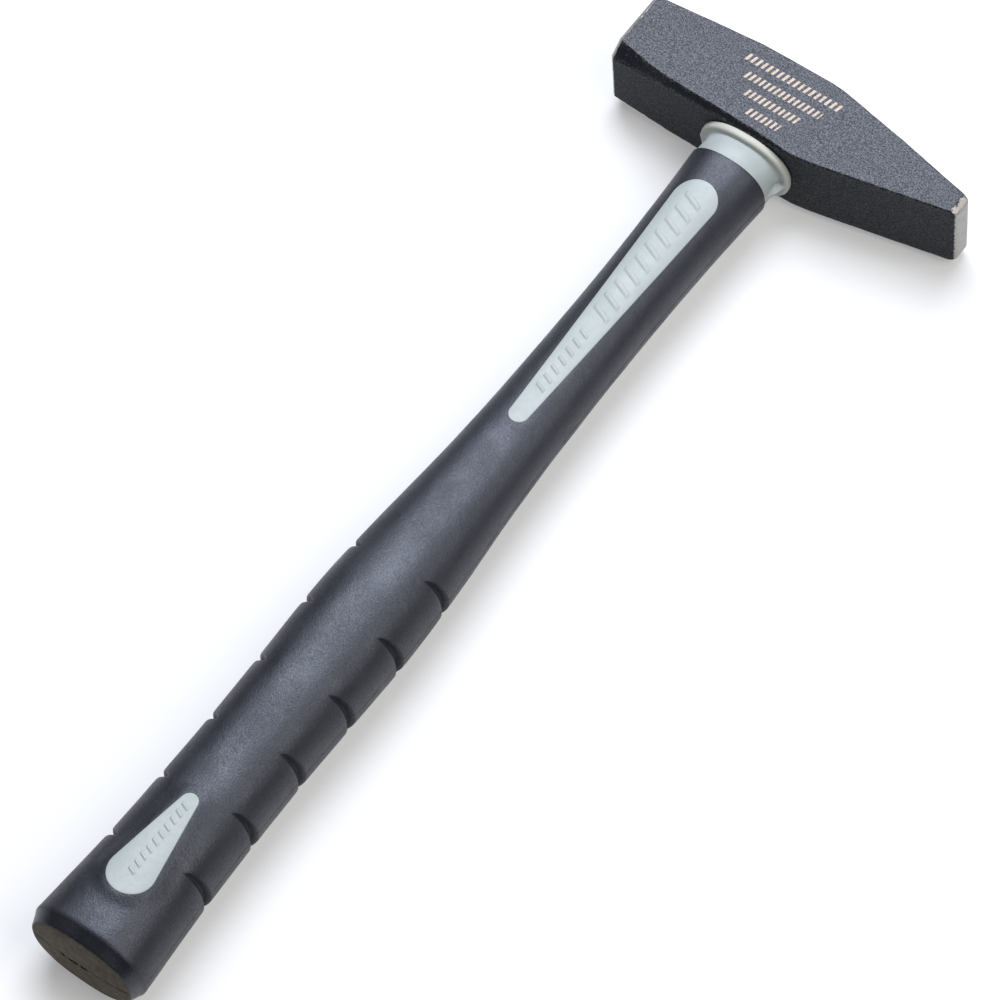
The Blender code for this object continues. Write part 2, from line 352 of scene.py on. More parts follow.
class Nodes:
    """Short calls for building one material's nodes."""

    def __init__(self, name):
        self.material = bpy.data.materials.new(name)
        self.material.use_nodes = True
        self.tree = self.material.node_tree
        self.shader = self.tree.nodes["Principled BSDF"]
        self.place = self.tree.nodes.new("ShaderNodeTexCoord").outputs["Object"]

    def set(self, name, value):
        self.shader.inputs[name].default_value = value

    def link(self, source, target):
        self.tree.links.new(source, target)

    def feed(self, socket, value):
        if isinstance(value, bpy.types.NodeSocket):
            self.link(value, socket)
        else:
            socket.default_value = value

    def maths(self, operation, first, second=0.0):
        node = self.tree.nodes.new("ShaderNodeMath")
        node.operation = operation
        self.feed(node.inputs[0], first)
        self.feed(node.inputs[1], second)
        return node.outputs[0]

    def stretched(self, x, y, z):
        """The place in metres, measured again with one scale for each direction."""
        node = self.tree.nodes.new("ShaderNodeMapping")
        node.inputs["Scale"].default_value = (x, y, z)
        self.link(self.place, node.inputs["Vector"])
        return node.outputs[0]

    def noise(self, size, detail=2.0, roughness=0.5, vector=None):
        """Noise whose lumps are about this many millimetres across."""
        node = self.tree.nodes.new("ShaderNodeTexNoise")
        node.inputs["Scale"].default_value = 1 / (size * MM)
        node.inputs["Detail"].default_value = detail
        node.inputs["Roughness"].default_value = roughness
        self.link(vector or self.place, node.inputs["Vector"])
        return node.outputs["Fac"]

    def cells(self, size):
        """Distance from the middles of cells about this many millimetres across."""
        node = self.tree.nodes.new("ShaderNodeTexVoronoi")
        node.inputs["Scale"].default_value = 1 / (size * MM)
        self.link(self.place, node.inputs["Vector"])
        return node.outputs["Distance"]

    def span(self, value, low, high, to_low=0.0, to_high=1.0):
        """The value's range low to high, clamped, made to_low to to_high."""
        node = self.tree.nodes.new("ShaderNodeMapRange")
        node.clamp = True
        self.feed(node.inputs["Value"], value)
        node.inputs["From Min"].default_value = low
        node.inputs["From Max"].default_value = high
        node.inputs["To Min"].default_value = to_low
        node.inputs["To Max"].default_value = to_high
        return node.outputs["Result"]

    def blend(self, factor, first, second):
        """One colour or the other, or a mixture."""
        node = self.tree.nodes.new("ShaderNodeMix")
        node.data_type = "RGBA"
        self.feed(node.inputs["Factor"], factor)
        for name, colour in (("A", first), ("B", second)):
            socket = [s for s in node.inputs if s.name == name and s.type == "RGBA"][0]
            if isinstance(colour, tuple):
                colour = (*colour, 1.0)
            self.feed(socket, colour)
        return [s for s in node.outputs if s.type == "RGBA"][0]

    def axes(self):
        """Millimetres from the eye's middle along X, Y and Z."""
        node = self.tree.nodes.new("ShaderNodeSeparateXYZ")
        self.link(self.place, node.inputs[0])
        return [
            self.maths("MULTIPLY", self.maths("SUBTRACT", out, middle), 1 / MM)
            for out, middle in zip(node.outputs, EYE)
        ]

    def facing(self):
        """How squarely the surface faces along X, Y and Z, to either side."""
        normal = self.tree.nodes.new("ShaderNodeTexCoord").outputs["Normal"]
        node = self.tree.nodes.new("ShaderNodeSeparateXYZ")
        self.link(normal, node.inputs[0])
        return [self.maths("ABSOLUTE", out) for out in node.outputs]

    def attribute(self, name):
        node = self.tree.nodes.new("ShaderNodeAttribute")
        node.attribute_name = name
        return node.outputs["Fac"]

    def bump(self, height, depth, normal=None):
        """Relief of this many millimetres."""
        node = self.tree.nodes.new("ShaderNodeBump")
        node.inputs["Distance"].default_value = depth * MM
        self.link(height, node.inputs["Height"])
        if normal:
            self.link(normal, node.inputs["Normal"])
        return node.outputs["Normal"]

    def done(self, colour, roughness, normal):
        self.link(colour, self.shader.inputs["Base Color"])
        self.link(roughness, self.shader.inputs["Roughness"])
        self.link(normal, self.shader.inputs["Normal"])
        return self.material


# ---------------------------------------------------------------- materials


def marking_mask(nodes, x, y, z):
    """Rows of small plain bars on the upper cheek, where a size would be marked."""
    total = None
    for middle, start, end, pitch in MARKING_ROWS:
        above = nodes.maths("SUBTRACT", y, middle)
        across = nodes.maths("LESS_THAN", nodes.maths("ABSOLUTE", above), BAR_HALF_HEIGHT)
        leaning = nodes.maths("MULTIPLY", above, BAR_SLANT)
        along = nodes.maths("SUBTRACT", nodes.maths("SUBTRACT", x, start), leaning)
        inside = nodes.maths(
            "MULTIPLY",
            nodes.maths("GREATER_THAN", along, 0.0),
            nodes.maths("LESS_THAN", along, end - start),
        )
        counted = nodes.maths("DIVIDE", along, pitch)
        bar = nodes.maths("LESS_THAN", nodes.maths("FRACT", counted), BAR_SHARE)
        row = nodes.maths("MULTIPLY", nodes.maths("MULTIPLY", across, inside), bar)
        total = row if total is None else nodes.maths("MAXIMUM", total, row)
    return nodes.maths("MULTIPLY", total, nodes.maths("GREATER_THAN", z, CHEEK_HALF - 0.5))


def head_material():
    """Black stoved paint with a fine grain over forged steel, ground bare at the face and the peen."""
    nodes = Nodes("black_painted_steel")
    x, y, z = nodes.axes()
    wander = nodes.span(nodes.noise(1.2), 0.3, 0.7, -0.22, 0.22)
    from_face = nodes.maths("SUBTRACT", FACE_EDGE_X, nodes.maths("ADD", x, wander))
    past_ground = nodes.maths("SUBTRACT", nodes.maths("ADD", x, wander), GROUND_X)
    from_front = nodes.maths("SUBTRACT", past_ground, 1.7)
    bevel = nodes.maths("ADD", nodes.maths("MULTIPLY", past_ground, 0.62), nodes.maths("ABSOLUTE", z))
    from_bevel = nodes.maths("SUBTRACT", bevel, CHEEK_HALF + 0.1)
    from_peen = nodes.maths("MAXIMUM", from_front, nodes.maths("MINIMUM", from_bevel, past_ground))
    bare = nodes.span(nodes.maths("MAXIMUM", from_face, from_peen), -0.05, 0.08)

    grain = nodes.noise(0.48, 2.0, 0.6)
    mottle = nodes.noise(2.4, 4.0, 0.6)
    paint = nodes.blend(nodes.span(grain, 0.38, 0.64), (0.002, 0.002, 0.003), (0.02, 0.021, 0.027))
    paint = nodes.blend(nodes.span(mottle, 0.4, 0.75, 0.0, 0.35), paint, (0.01, 0.0105, 0.013))
    # Painted glints: tiny bright flecks scattered over the paint stand in for the sparkle of its textured
    # coat.
    glint_flecks = nodes.span(nodes.noise(0.45, 1.0), 0.68, 0.76)
    paint = nodes.blend(nodes.maths("MULTIPLY", glint_flecks, 0.6), paint, (0.13, 0.135, 0.15))
    chipped = nodes.maths(
        "MULTIPLY",
        nodes.attribute("mark"),
        nodes.span(nodes.noise(0.7, 3.0, 0.7), 0.53, 0.6),
    )
    paint = nodes.blend(nodes.maths("MULTIPLY", chipped, 0.35), paint, (0.2, 0.2, 0.22))
    blotches = nodes.maths("MULTIPLY", nodes.span(mottle, 0.5, 0.75), 0.5)
    paint = nodes.blend(blotches, paint, (0.004, 0.004, 0.005))
    worn_print = nodes.span(nodes.noise(0.5), 0.3, 0.5, 0.6, 1.0)
    bars = nodes.maths("MULTIPLY", marking_mask(nodes, x, y, z), worn_print)
    paint = nodes.blend(bars, paint, (0.5, 0.39, 0.3))

    lines = nodes.noise(0.35, 4.0, 0.6, nodes.stretched(1.0, 0.12, 1.0))
    steel = nodes.blend(nodes.span(lines, 0.3, 0.7), (0.31, 0.29, 0.265), (0.5, 0.475, 0.445))
    colour = nodes.blend(bare, paint, steel)
    nodes.link(bare, nodes.shader.inputs["Metallic"])
    # The corner cuts are smoother than the cheeks, and the narrow sides rougher.
    _, facing_y, facing_z = nodes.facing()
    by_side = nodes.maths(
        "ADD",
        nodes.span(facing_y, 0.8, 0.9, 0.0, 0.42),
        nodes.span(facing_z, 0.8, 0.95, -0.14, 0.0),
    )
    painted_roughness = nodes.maths("ADD", nodes.span(grain, 0.35, 0.65, 0.62, 0.32), by_side)
    ground_roughness = nodes.span(lines, 0.3, 0.7, 0.48, 0.6)
    rough = nodes.maths(
        "ADD",
        nodes.maths("MULTIPLY", painted_roughness, nodes.maths("SUBTRACT", 1.0, bare)),
        nodes.maths("MULTIPLY", ground_roughness, bare),
    )
    relief = nodes.maths("MULTIPLY", grain, nodes.span(bare, 0.0, 1.0, 1.0, 0.12))
    nodes.set("Specular Tint", (0.88, 0.92, 1.0, 1.0))
    nodes.set("Specular IOR Level", 0.54)
    normal = nodes.bump(mottle, 0.12, nodes.bump(relief, 0.1))
    return nodes.done(colour, rough, normal)


def plastic_material():
    """Pale mint plastic, slightly mottled, with a fine moulded grain."""
    nodes = Nodes("pale_plastic")
    mottle = nodes.noise(9.0, 3.0)
    colour = nodes.blend(nodes.span(mottle, 0.3, 0.7), (0.31, 0.35, 0.345), (0.35, 0.385, 0.38))
    _, y, _ = nodes.axes()
    # Painted light: the flange lip is painted paler and creamier, standing in for the light it catches and
    # lets through.
    lip_painted_light = nodes.span(y, -16.9, -16.2, 0.0, 0.8)
    colour = nodes.blend(lip_painted_light, colour, (0.44, 0.44, 0.38))
    dirt = nodes.span(nodes.noise(0.5, 2.0), 0.7, 0.78, 0.0, 0.25)
    colour = nodes.blend(dirt, colour, (0.3, 0.34, 0.33))
    rough = nodes.span(nodes.noise(1.5, 3.0), 0.3, 0.7, 0.42, 0.52)
    normal = nodes.bump(nodes.noise(1.8, 2.0), 0.04, nodes.bump(nodes.noise(0.25, 2.0), 0.006))
    nodes.set("Subsurface Weight", 0.12)
    nodes.set("Subsurface Radius", (0.003, 0.003, 0.003))
    nodes.set("Subsurface Scale", 0.3)
    return nodes.done(colour, rough, normal)


def rubber_material():
    """Black rubber with a fine matt grain, smudged here and there by handling."""
    nodes = Nodes("black_rubber")
    grain = nodes.noise(0.5, 2.5, 0.65)
    smudges = nodes.noise(13.0, 5.0, 0.62)
    colour = nodes.blend(nodes.span(grain, 0.34, 0.68), (0.006, 0.0064, 0.008), (0.0165, 0.0175, 0.023))
    colour = nodes.blend(nodes.span(smudges, 0.5, 0.75, 0.0, 0.5), colour, (0.02, 0.021, 0.025))
    dust = nodes.span(nodes.noise(0.7, 1.0), 0.74, 0.79, 0.0, 0.5)
    colour = nodes.blend(dust, colour, (0.1, 0.1, 0.11))
    _, y, _ = nodes.axes()
    # Painted highlight: from the collar to 150 mm down the handle, fading out by 215 mm, the rubber is
    # painted lighter to stand in for the broad sheen there.
    neck_painted_highlight = nodes.span(y, -215.0, -150.0)
    colour = nodes.blend(nodes.maths("MULTIPLY", neck_painted_highlight, 0.5), colour, (0.026, 0.026, 0.033))
    # Painted reflection: the end face of the butt is painted warm brown in random blotches, standing in
    # for warm light bounced up from the floor.
    on_butt = nodes.span(y, -BUTT_EDGE - 0.1, -BUTT_EDGE + 0.3, 1.0, 0.0)
    butt_blotches = nodes.span(nodes.noise(2.2, 4.0, 0.65), 0.35, 0.65)
    butt_bounce_tint = nodes.blend(butt_blotches, (0.044, 0.032, 0.014), (0.11, 0.082, 0.04))
    colour = nodes.blend(nodes.maths("MULTIPLY", on_butt, 0.85), colour, butt_bounce_tint)
    # Painted shade: the notches are painted near-black towards their deepest part, read from the attribute
    # mark.
    notch_shade_depth = nodes.span(nodes.attribute("mark"), 0.05, 0.7)
    colour = nodes.blend(nodes.maths("MULTIPLY", notch_shade_depth, 0.85), colour, (0.001, 0.001, 0.0012))
    # The bevel round the butt is smoother than the rest, and the end face and the notches rougher.
    rougher = nodes.maths(
        "ADD",
        nodes.maths("MULTIPLY", on_butt, 0.44),
        nodes.maths("MULTIPLY", notch_shade_depth, 0.3),
    )
    by_place = nodes.maths(
        "ADD",
        nodes.span(y, -BUTT_RIM - 0.9, -BUTT_RIM - 0.5, -0.14, 0.0),
        rougher,
    )
    rough = nodes.maths(
        "ADD",
        nodes.maths("ADD", nodes.span(smudges, 0.3, 0.7, 0.38, 0.54), by_place),
        nodes.span(grain, 0.35, 0.65, 0.07, -0.07),
    )
    normal = nodes.bump(nodes.noise(4.0, 4.0, 0.6), 0.14, nodes.bump(grain, 0.07))
    nodes.set("Specular Tint", (0.84, 0.88, 1.0, 1.0))
    nodes.set("Specular IOR Level", 0.55)
    return nodes.done(colour, rough, normal)


def fibreglass_material():
    """Sawn end of a bundle of glass fibres in yellow resin."""
    nodes = Nodes("fibreglass")
    fibres = nodes.cells(0.35)
    colour = nodes.blend(nodes.span(fibres, 0.1, 0.55), (0.62, 0.57, 0.38), (0.34, 0.29, 0.15))
    colour = nodes.blend(nodes.span(nodes.noise(3.0), 0.45, 0.7, 0.0, 0.5), colour, (0.5, 0.42, 0.22))
    normal = nodes.bump(fibres, 0.08)
    return nodes.done(colour, nodes.span(nodes.noise(0.8), 0.3, 0.7, 0.4, 0.6), normal)


def resin_material():
    """Dark casting resin, glossy where it settled, with pinholes."""
    nodes = Nodes("cast_resin")
    pores = nodes.span(nodes.cells(1.3), 0.12, 0.2)
    colour = nodes.blend(pores, (0.01, 0.009, 0.008), (0.045, 0.042, 0.038))
    normal = nodes.bump(pores, 0.12, nodes.bump(nodes.noise(2.2, 2.0), 0.1))
    return nodes.done(colour, nodes.span(nodes.noise(1.5), 0.3, 0.7, 0.22, 0.4), normal)


def floor_material():
    nodes = Nodes("pale_floor")
    colour = nodes.blend(nodes.noise(60.0), (0.5, 0.5, 0.5), (0.52, 0.52, 0.52))
    nodes.set("Emission Color", (1.0, 1.0, 1.0, 1.0))
    nodes.set("Emission Strength", FLOOR_GLOW)
    rough = nodes.span(nodes.noise(40.0), 0.3, 0.7, 0.8, 0.9)
    return nodes.done(colour, rough, nodes.bump(nodes.noise(1.0), 0.01))


# ---------------------------------------------------------------- head


def rounded_section(x, low, high, upper, lower, far, half):
    """Points and edge marks of an eight-cornered section square to X, its corners rounded.

    upper, lower and far are the legs of the corner cuts, along Y and along Z."""
    corners = (
        (low + upper[0], half),
        (high - far[0], half),
        (high, half - far[1]),
        (high, far[1] - half),
        (high - far[0], -half),
        (low + lower[0], -half),
        (low, lower[1] - half),
        (low, half - upper[1]),
    )
    points = []
    marks = []
    for number, corner in enumerate(corners):
        corner = Vector(corner)
        before = Vector(corners[number - 1]) - corner
        after = Vector(corners[(number + 1) % 8]) - corner
        reach = min(EDGE_RADIUS, before.length * 0.4, after.length * 0.4)
        start = corner + before.normalized() * reach
        end = corner + after.normalized() * reach
        for step in range(5):
            part = step / 4
            points.append(start * (1 - part) ** 2 + corner * 2 * part * (1 - part) + end * part**2)
            marks.append(1.0)
        far_end = corner + after - after.normalized() * min(EDGE_RADIUS, after.length * 0.4)
        cuts = 4 if number % 2 else 25
        for step in range(1, cuts):
            points.append(end.lerp(far_end, step / cuts))
            marks.append(0.5 if step in (1, cuts - 1) and number % 2 == 0 else 0.0)
    return [Vector((x, point.x, point.y)) for point in points], marks


def roughen(point, mark):
    """Forged unevenness: slow waves all over, and small bites out of the edges."""
    slow = noise.noise(point / 11.0) * 0.1 + noise.noise(point / 4.0) * 0.05
    bite = max(noise.noise(point / 1.3 + Vector((40, 0, 0))), 0.0) * 0.22 * mark
    middle = Vector((point.x, 0.5, 0.0))
    return point - (point - middle).normalized() * (bite - slow)


def head_rings():
    rings = []
    marks = []

    def add(x, low, high, upper, lower, far, half, wear):
        ring, edge = rounded_section(x, low, high, upper, lower, far, half)
        rings.append([roughen(point, mark * wear) for point, mark in zip(ring, edge)])
        marks.append([mark * wear for mark in edge])

    def legs(station, scale):
        return [(station[column] * scale, station[column + 1] * scale) for column in (3, 5, 7)]

    first = HEAD_STATIONS[0]
    face_x = FACE_EDGE_X - FACE_BEVEL
    rim = CHEEK_HALF - FACE_BEVEL
    for scale in (0.06, 0.2, 0.35, 0.5, 0.65, 0.8, 0.9, 0.96, 1.0):
        x = face_x - FACE_CROWN * (1 - scale**2)
        low = (first[1] + FACE_BEVEL) * scale
        high = (first[2] - FACE_BEVEL) * scale
        add(x, low, high, *legs(first, 0.9 * scale), rim * scale, 0.0)
    for part in (0.25, 0.5, 0.75, 0.94):
        inset = FACE_BEVEL * (1 - part) ** 1.6
        add(
            face_x + FACE_BEVEL * part,
            first[1] + inset,
            first[2] - inset,
            *legs(first, 1.0),
            CHEEK_HALF - inset,
            0.0,
        )
    for x in evenly(FACE_EDGE_X, GROUND_X, 130):
        station = [x] + [straight_value(HEAD_STATIONS, x, column) for column in range(1, 9)]
        add(x, station[1], station[2], *legs(station, 1.0), CHEEK_HALF, 1.0)
    last = HEAD_STATIONS[-1]
    middle = (last[1] + last[2]) / 2
    half_width = (last[2] - last[1]) / 2
    for part, width_lost, half_lost in PEEN_TIP:
        width = half_width - width_lost
        x = GROUND_X + (PEEN_TIP_X - GROUND_X) * part
        add(x, middle - width, middle + width, *legs(last, 1.0), CHEEK_HALF - half_lost, 0.0)
    for scale in (0.7, 0.4, 0.1):
        tip = PEEN_TIP[-1]
        width = (half_width - tip[1]) * scale
        half = CHEEK_HALF - tip[2] - (1 - scale)
        add(PEEN_TIP_X, middle - width, middle + width, *legs(last, scale), half, 0.0)
    return [[EYE + point * MM for point in ring] for ring in rings], marks


def oval_rod(name, half_width, half_thickness, start, end, materials):
    """A straight oval rod along the handle."""
    rings = []
    for at in (start, end):
        ring = []
        for step in range(96):
            angle = 2 * math.pi * step / 96
            ring.append(place(half_width * math.cos(angle), at, half_thickness * math.sin(angle)))
        rings.append(ring)
    return closed_loft(name, rings, materials)


def make_head():
    rings, marks = head_rings()
    head = closed_loft("head_forging", rings, [head_material()], 32, marks)
    eye = oval_rod("eye_cutter", EYE_HALF_WIDTH, EYE_HALF_THICKNESS, -20, 20, [])
    cut(head, eye, 32)
    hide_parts("hammer_head")
    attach(head, "root")


# ---------------------------------------------------------------- handle


def section_point(half_width, half_thickness, angle):
    power = 2 / SECTION_POWER
    x = half_width * math.copysign(abs(math.cos(angle)) ** power, math.cos(angle))
    z = half_thickness * math.copysign(abs(math.sin(angle)) ** power, math.sin(angle))
    return x, z


def column_angles():
    """Angles round the handle, with two more close to each parting line."""
    regular = [2 * math.pi * step / 188 for step in range(188)]
    beside_line = [side + off for side in (0, math.pi) for off in (-0.011, 0.011)]
    return sorted(angle % (2 * math.pi) for angle in regular + beside_line)


ANGLES = column_angles()


def from_side(angle):
    """Angle to the nearer parting line, from 0 to a right angle."""
    turned = angle % math.pi
    return min(turned, math.pi - turned)


def grip_half_sizes(at):
    return smooth_value(GRIP_STATIONS, at, 1), smooth_value(GRIP_STATIONS, at, 2)


def rubber_wall(at):
    return NECK_WALL + (GRIP_WALL - NECK_WALL) * smooth_step((at - 110) / 90)


def window_distance(window, x, at):
    """How far a point is outside a window's outline; below zero inside it."""
    first, first_radius, second, second_radius = window
    along = at - first
    length = second - first
    lean = (second_radius - first_radius) / length
    shifted = along + abs(x) * lean / math.sqrt(1 - lean * lean)
    part = min(max(shifted / length, 0.0), 1.0)
    radius = first_radius + (second_radius - first_radius) * part
    return math.hypot(x, along - part * length) - radius


def boss_rise(x, at):
    """The rubber swells up a little to meet the pads in the windows."""
    drop = max(window_distance(DROP_WINDOW, x, at), 0.0)
    long = max(window_distance(LONG_WINDOW, x, at), 0.0)
    return 0.7 * (1 - smooth_step((drop + 0.6) / 5.2)) + 0.12 * (1 - smooth_step(long / 4.0))


def unevenness(x, at, z):
    point = Vector((x, at, z))
    return 0.07 * noise.noise(point / 16.0) + 0.03 * noise.noise(point / 6.0)


def grip_surface(at, angle, sunk=0.0):
    """A point of the rubber's outside, sunk below it by this much."""
    half_width, half_thickness = grip_half_sizes(at)
    x, z = section_point(half_width, half_thickness, angle)
    lift = boss_rise(x, at) + unevenness(x, at, z) - sunk
    if from_side(angle) < 0.001:
        lift += 0.1 + 0.08 * noise.noise(Vector((x, at / 2.3, 0)))
    return section_point(half_width + lift, half_thickness + lift, angle)


def notch_shade(deep):
    """How far into a notch each point of one of its rows is."""
    return [deep * max(1 - (from_side(angle) / NOTCH_HALF_ANGLE) ** 2, 0.0) ** 0.4 for angle in ANGLES]


def notch_row(butt_edge, part, deep):
    """One row of grip points across a notch: part runs from its curved rim to its straight edge."""
    ring = []
    for angle in ANGLES:
        fullness = max(1 - (from_side(angle) / NOTCH_HALF_ANGLE) ** 2, 0.0)
        width = max(NOTCH_WIDTH * fullness**0.6, 0.3)
        at = butt_edge - width + width * part + NOTCH_LEFT_SHIFT * smooth_step(-1.6 * math.cos(angle))
        x, z = grip_surface(at, angle, NOTCH_DEPTH * deep * fullness**0.75)
        ring.append(place(x, at, z))
    return ring


# Across a notch: (part of the way from its curved rim to its straight edge, part of its depth)
NOTCH_PROFILE = (
    (-0.6, 0.0),
    (-0.3, 0.01),
    (-0.12, 0.02),
    (-0.03, 0.05),
    (0.02, 0.16),
    (0.1, 0.36),
    (0.18, 0.56),
    (0.26, 0.76),
    (0.34, 0.92),
    (0.42, 1.0),
    (0.52, 0.98),
    (0.62, 0.86),
    (0.72, 0.7),
    (0.82, 0.48),
    (0.9, 0.28),
    (0.96, 0.14),
    (1.02, 0.05),
    (1.15, 0.01),
)


def plain_row(at):
    ring = []
    for angle in ANGLES:
        x, z = grip_surface(at, angle)
        ring.append(place(x, at, z))
    return ring


def butt_row(at, half_width, half_thickness):
    ring = []
    for angle in ANGLES:
        x, z = section_point(half_width, half_thickness, angle)
        ring.append(place(x, at, z))
    return ring


def seam_opening(x):
    """Half width of the seam across the butt: a hairline, torn open in two places near the middle."""
    tear = max(0.0, 1 - ((x + 0.3) / 3.6) ** 2) + 0.5 * max(0.0, 1 - ((x + 5.6) / 0.9) ** 2)
    wobble = 0.7 + 0.3 * noise.noise(Vector((x * 0.9, 3.0, 0)))
    return 0.1 + 0.75 * min(2.5 * tear, 1.0) * wobble


def butt_face_row(scale):
    """A row of the domed end face, with the moulding seam pressed into it along X."""
    rise = (BUTT_END - BUTT_EDGE) * (1 - scale**2.2)
    ring = []
    for angle in ANGLES:
        x, z = section_point(BUTT_FACE_HALF_WIDTH * scale, BUTT_FACE_HALF_THICKNESS * scale, angle)
        at = BUTT_EDGE + rise
        if scale < 0.97:
            opening = seam_opening(x)
            if from_side(angle) < 0.001:
                at -= 0.3 + 5.0 * (opening - 0.1)
            else:
                z = math.copysign(math.hypot(z, opening), z)
        at += 0.05 * noise.noise(Vector((x / 5, z / 5, 9.0)))
        ring.append(place(x, at, z))
    return ring


def hollow_row(at, extra=0.0):
    """A row of the rubber's inside, or of the jacket when extra sinks it further."""
    half_width, half_thickness = grip_half_sizes(max(at, GRIP_START))
    inset = rubber_wall(at) + extra
    ring = []
    for angle in ANGLES:
        x, z = section_point(half_width - inset, half_thickness - inset, angle)
        ring.append(place(x, at, z))
    return ring


def outline_points(window, extra, arc_steps, side_steps):
    """X and at along a window's outline: two round ends joined by straight sides."""
    first, first_radius, second, second_radius = window
    first_radius += extra
    second_radius += extra
    lean = math.asin((second_radius - first_radius) / (second - first))
    outline = []
    for step in range(arc_steps + 1):
        angle = lean + (math.pi - 2 * lean) * step / arc_steps
        outline.append((first_radius * math.cos(angle), first - first_radius * math.sin(angle)))
    left_start = Vector(outline[-1])
    far_end = []
    for step in range(arc_steps + 1):
        angle = math.pi - lean + (math.pi + 2 * lean) * step / arc_steps
        far_end.append((second_radius * math.cos(angle), second - second_radius * math.sin(angle)))
    for step in range(1, side_steps):
        outline.append(tuple(left_start.lerp(Vector(far_end[0]), step / side_steps)))
    outline += far_end
    right_start = Vector(far_end[-1])
    for step in range(1, side_steps):
        outline.append(tuple(right_start.lerp(Vector(outline[0]), step / side_steps)))
    return outline


def window_cutter(window):
    outline = outline_points(window, WINDOW_GAP, CUTTER_ARC_STEPS, 1)
    rings = [[place(x, at, z) for x, at in outline] for z in (-20, 20)]
    return closed_loft("window_cutter", rings, [])


def make_grip():
    """The rubber cover: its hollow, its end by the collar, its outside with the notches, and the butt."""
    rings = [hollow_row(JACKET_END + GAP)]
    rings += [hollow_row(at) for at in evenly(JACKET_END - 2, GRIP_START + 2, 16)]
    rings.append(hollow_row(GRIP_START))
    for inset, back in ((0.55, 0.0), (0.3, 0.03), (0.12, 0.12), (0.03, 0.3)):
        ring = []
        for angle in ANGLES:
            x, z = grip_surface(GRIP_START + back, angle, inset)
            ring.append(place(x, GRIP_START + back, z))
        rings.append(ring)
    first_row = NOTCH_FIRST - NOTCH_WIDTH * 1.75
    rings += [plain_row(at) for at in evenly(GRIP_START + 0.6, first_row - 1.2, 118)]
    plain = [0.0] * len(ANGLES)
    # The notch rows keep how deep they are in the attribute mark, which the rubber material turns into
    # painted shade.
    shades = []
    for number in range(NOTCH_COUNT):
        butt_edge = NOTCH_FIRST + NOTCH_PITCH * number
        shades += [plain] * (len(rings) - len(shades))
        shades += [notch_shade(deep) for _, deep in NOTCH_PROFILE]
        rings += [notch_row(butt_edge, part, deep) for part, deep in NOTCH_PROFILE]
        start = butt_edge + NOTCH_WIDTH * 0.7 + 1.0
        is_last = number == NOTCH_COUNT - 1
        end = BUTT_RIM - 1.4 if is_last else butt_edge + NOTCH_PITCH - NOTCH_WIDTH * 1.75 - 1.0
        rings += [plain_row(at) for at in evenly(start, end, 22 if is_last else 11)]
    for at, half_width, half_thickness in BUTT_RIM_ROUND:
        rings.append(butt_row(at, half_width, half_thickness))
    for part in (0.3, 0.42, 0.55, 0.7, 0.85, 0.95):
        at = BUTT_RIM + (BUTT_EDGE - BUTT_RIM) * part
        half_width = BUTT_RIM_HALF_WIDTH + (BUTT_FACE_HALF_WIDTH - BUTT_RIM_HALF_WIDTH) * part
        half_thickness = (
            BUTT_RIM_HALF_THICKNESS + (BUTT_FACE_HALF_THICKNESS - BUTT_RIM_HALF_THICKNESS) * part
        )
        rings.append(butt_row(at, half_width, half_thickness))
    rings += [butt_face_row(scale) for scale in [0.985, 0.96, *evenly(0.93, 0.03, 40)]]
    shades += [plain] * (len(rings) - len(shades))
    grip = closed_loft("rubber_cover", rings, [rubber_material()], 38, shades)
    for window in (LONG_WINDOW, DROP_WINDOW):
        cut(grip, window_cutter(window), 38)
    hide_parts("rubber_grip")
    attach(grip, "root")


def pad_height(x, at):
    """Z of the grip's outside above the point x, at."""
    half_width, half_thickness = grip_half_sizes(at)
    power = SECTION_POWER
    lift = boss_rise(x, at)
    rest = max(1 - (abs(x) / (half_width + lift)) ** power, 0.0)
    return (half_thickness + lift) * rest ** (1 / power)


def make_pad(name, window, side, material):
    """One plastic pad standing in a window, flush with the rubber and with a softened edge."""
    outline = outline_points(window, 0.0, PAD_ARC_STEPS, PAD_SIDE_STEPS)
    spines = [min(max(at, window[0]), window[2]) for _, at in outline]
    rings = []
    for inset, drop in ((0.0, 3.2), (0.0, 0.12), (0.05, 0.03), (0.14, -0.02), (0.3, -0.04)):
        ring = []
        for (x, at), spine in zip(outline, spines):
            reach = math.hypot(x, at - spine)
            scale = (reach - inset) / reach
            near_x = x * scale
            near_at = spine + (at - spine) * scale
            z = pad_height(near_x, near_at) - drop
            ring.append(place(near_x, near_at, side * z))
        rings.append(ring)
    for scale in (0.8, 0.6, 0.4, 0.2):
        ring = []
        for (x, at), spine in zip(outline, spines):
            near_x = x * scale
            near_at = spine + (at - spine) * scale
            ring.append(place(near_x, near_at, side * (pad_height(near_x, near_at) + 0.04)))
        rings.append(ring)
    return closed_loft(name, rings, [material], 50, fold=PAD_ARC_STEPS)


def make_collar(material):
    """The jacket's flange and neck, with a thin web between flange and rubber on the peen's side."""
    rings = []
    for station in COLLAR_STATIONS:
        at, half_width, half_thickness = station
        ring = []
        for angle in ANGLES:
            x, z = section_point(half_width, half_thickness, angle)
            x += 0.05 * noise.noise(Vector((x / 4, at, z / 4)))
            if x > 0 and at > LIP_AT:
                web = LIP_HALF_WIDTH - WEB_SLOPE * (at - LIP_AT)
                x += max(web - x, 0.0) * math.exp(-((z / WEB_HALF) ** 4))
            elif x < 0 and at < NIB_END:
                x -= NIB * math.exp(-((z / WEB_HALF) ** 4))
            ring.append(place(x, at, z))
        rings.append(ring)
    for at in evenly(28.0, JACKET_END, 24):
        rings.append(hollow_row(at, 0.3))
    collar = closed_loft("handle_jacket_sleeve", rings, [material], 50)
    bore = oval_rod("bore", CORE_HALF_WIDTH + GAP, CORE_HALF_THICKNESS + GAP, 5, CORE_END + GAP, [])
    cut(collar, bore, 50)
    return collar


